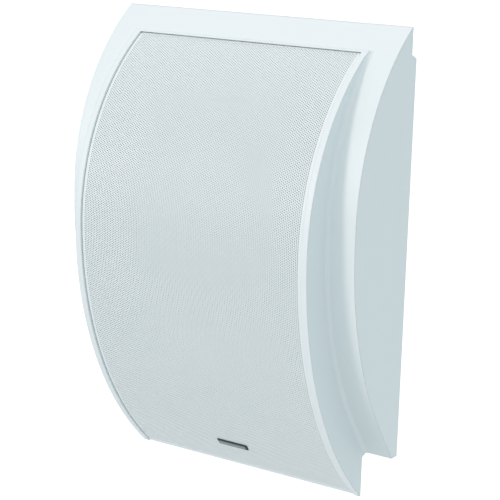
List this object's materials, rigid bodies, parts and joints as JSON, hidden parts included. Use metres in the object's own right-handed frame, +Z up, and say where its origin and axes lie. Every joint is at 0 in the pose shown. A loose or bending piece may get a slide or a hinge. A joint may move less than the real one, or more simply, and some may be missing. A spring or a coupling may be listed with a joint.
{
  "type": "public address wall speaker",
  "caption": "Bowed white wall loudspeaker cabinet with a perforated front, a dual-cone driver and a line transformer on a steel wall plate.",
  "frame": {"origin": "centre of the four wall holes, on the wall plane", "axes": "+X to the listener's right when facing the grille, +Y into the wall, +Z up"},
  "size_m": [0.205, 0.0828, 0.29],
  "materials": {
    "cabinet_white": "fine satin moulding",
    "cover_white": "matt moulding",
    "sheet_white": "powder coat, satin",
    "cloth": "thin weave",
    "badge": "satin",
    "badge_face": "satin field of the bare plate",
    "zinc": "zinc plated",
    "screw_steel": "zinc plated",
    "basket_black": "black lacquer",
    "ferrite": "ground ceramic",
    "paper": "pressed paper",
    "whizzer_paper": "pressed paper",
    "surround_cloth": "coated cloth",
    "spider_cloth": "resin treated cloth",
    "former_card": "kraft paper",
    "copper": "enamelled wire",
    "foam": "closed foam",
    "rubber": "matt",
    "board": "laminated board with tinned tags",
    "tinsel": "braid",
    "core_iron": "stacked sheets",
    "bobbin_plastic": "satin",
    "block_plastic": "satin",
    "wire_red": "soft sleeve",
    "wire_grey": "soft sleeve"
  },
  "bodies": {
    "cabinet": {"front_housing": "cabinet_white", "rear_cover": "cover_white", "rear_cover_screws": "screw_steel", "wall_plate": "zinc", "lock_screw": "screw_steel", "cable_grommet": "rubber", "grille": "sheet_white", "grille_cloth": "cloth", "badge_plate": "badge", "driver_basket": "basket_black", "driver_gasket": "foam", "driver_screws": "screw_steel", "front_plate": "zinc", "ring_magnet": "ferrite", "yoke": "zinc", "spider": "spider_cloth", "surround": "surround_cloth", "terminal_strip": "board", "tinsel_leads": "tinsel", "transformer_core": "core_iron", "transformer_bobbin": "bobbin_plastic", "transformer_winding": "copper", "transformer_bracket": "zinc", "transformer_screws": "screw_steel", "terminal_block": "block_plastic", "terminal_block_screws": "screw_steel", "line_leads": "wire_red", "speaker_leads": "wire_grey"},
    "cone": {"main_cone": "paper", "whizzer_cone": "whizzer_paper", "dust_cap": "paper", "voice_coil_former": "former_card", "voice_coil_winding": "copper"}
  },
  "joints": [
    {"name": "cone_travel", "type": "slide", "parent": "cabinet", "child": "cone", "axis": [0, -1, 0], "range_m": [-0.002, 0.002], "stiffness_N_per_m": 1500, "deforming": ["surround", "spider", "tinsel_leads"]}
  ]
}
